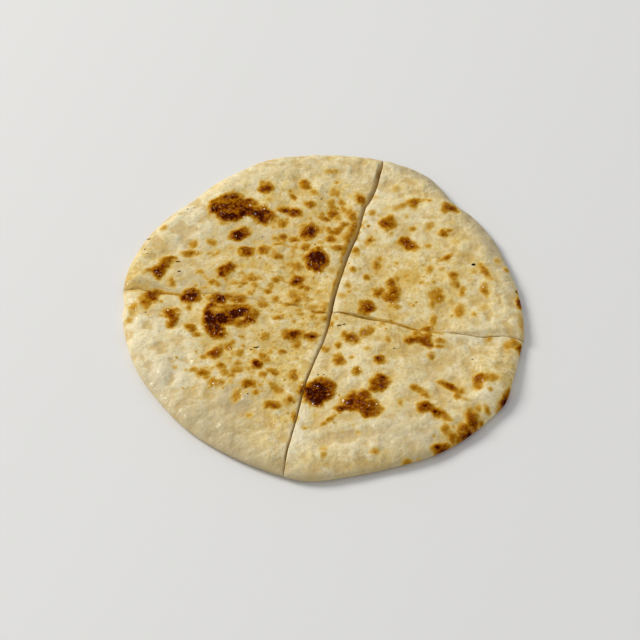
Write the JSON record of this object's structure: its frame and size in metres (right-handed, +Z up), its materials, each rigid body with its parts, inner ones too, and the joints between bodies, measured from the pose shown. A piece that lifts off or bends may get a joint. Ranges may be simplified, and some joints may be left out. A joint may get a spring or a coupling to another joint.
{
  "type": "naan bread",
  "caption": "Round flat naan bread with a puffed rim, low blisters and browned spots, cut into wedges that still lie together in the shape of the whole round.",
  "frame": {"origin": "middle of the bread's bounding box, on the surface it lies on", "axes": "+Z up out of the browned top, +Y towards the back, where the long cut leans to the right, +X to the right"},
  "size_m": [0.2136, 0.2246, 0.0089],
  "materials": {
    "naan_crust": "pale cream baked dough, semi-matte with a faint oily sheen, golden freckles and dark brown blisters"
  },
  "bodies": {
    "root": {"quarter_back_left": "naan_crust", "quarter_back_right": "naan_crust", "quarter_front_left": "naan_crust", "quarter_front_right": "naan_crust"}
  },
  "joints": []
}
